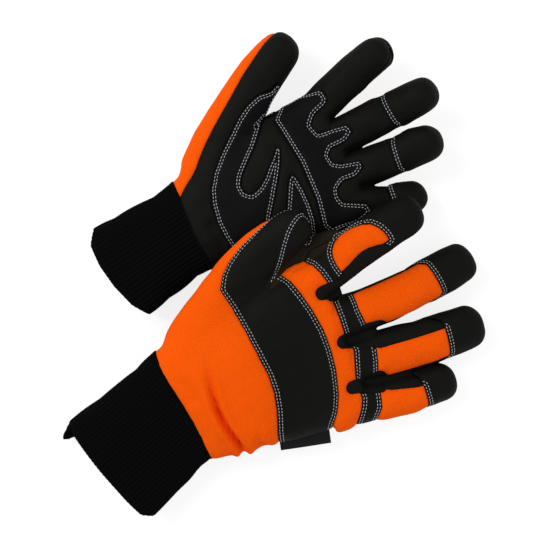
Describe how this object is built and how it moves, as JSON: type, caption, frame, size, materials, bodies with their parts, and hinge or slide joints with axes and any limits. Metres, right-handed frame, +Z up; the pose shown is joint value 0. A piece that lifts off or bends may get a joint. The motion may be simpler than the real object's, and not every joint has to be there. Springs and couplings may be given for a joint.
{
  "type": "pair of insulated work gloves",
  "caption": "Pair of padded hi-vis work gloves with orange knit backs, black leather palms, bands and fingertip caps, double topstitching and long rib-knit cuffs, one resting on the other.",
  "frame": {"origin": "on the surface the gloves lie on, under the centre of the pair's bounding box", "axes": "+X towards the fingertips, +Y towards the thumbs, +Z up from the surface"},
  "size_m": [0.3468, 0.289, 0.0645],
  "materials": {
    "orange_knit": "fine ribbed hi-vis knit",
    "black_leather": "matt synthetic leather",
    "patch_leather": "matt synthetic leather, double stitched",
    "rib_knit": "rib knit",
    "binding": "rolled edge tape",
    "label": "bare woven tape",
    "wadding": "fibre wadding",
    "fleece": "brushed fleece"
  },
  "bodies": {
    "left_glove": {"left_back_gauntlet": "orange_knit", "left_back_index": "orange_knit", "left_back_little": "orange_knit", "left_back_middle": "orange_knit", "left_back_ring": "orange_knit", "left_cap_index": "black_leather", "left_cap_little": "black_leather", "left_cap_middle": "black_leather", "left_cap_ring": "black_leather", "left_cuff": "rib_knit", "left_cuff_binding": "binding", "left_fourchette_index_middle": "black_leather", "left_fourchette_middle_ring": "black_leather", "left_fourchette_ring_little": "black_leather", "left_heel_patch": "patch_leather", "left_insulation": "wadding", "left_knuckle_band": "black_leather", "left_knuckle_panel": "orange_knit", "left_lining": "fleece", "left_palm_panel": "black_leather", "left_palm_patch": "patch_leather", "left_strip_index": "black_leather", "left_strip_little": "black_leather", "left_strip_middle": "black_leather", "left_strip_ring": "black_leather", "left_thumb": "black_leather", "left_thumb_back": "orange_knit", "left_thumb_patch": "patch_leather"},
    "right_glove": {"right_back_gauntlet": "orange_knit", "right_back_index": "orange_knit", "right_back_little": "orange_knit", "right_back_middle": "orange_knit", "right_back_ring": "orange_knit", "right_cap_index": "black_leather", "right_cap_little": "black_leather", "right_cap_middle": "black_leather", "right_cap_ring": "black_leather", "right_cuff": "rib_knit", "right_cuff_binding": "binding", "right_fourchette_index_middle": "black_leather", "right_fourchette_middle_ring": "black_leather", "right_fourchette_ring_little": "black_leather", "right_heel_patch": "patch_leather", "right_insulation": "wadding", "right_knuckle_band": "black_leather", "right_knuckle_panel": "orange_knit", "right_label_tag": "label", "right_lining": "fleece", "right_palm_panel": "black_leather", "right_palm_patch": "patch_leather", "right_strip_index": "black_leather", "right_strip_little": "black_leather", "right_strip_middle": "black_leather", "right_strip_ring": "black_leather", "right_thumb": "black_leather", "right_thumb_back": "orange_knit", "right_thumb_patch": "patch_leather"}
  },
  "joints": [
    {"name": "right_lift", "type": "slide", "parent": "left_glove", "child": "right_glove", "axis": [0, 0, 1], "range_m": [0, 0.12]}
  ]
}
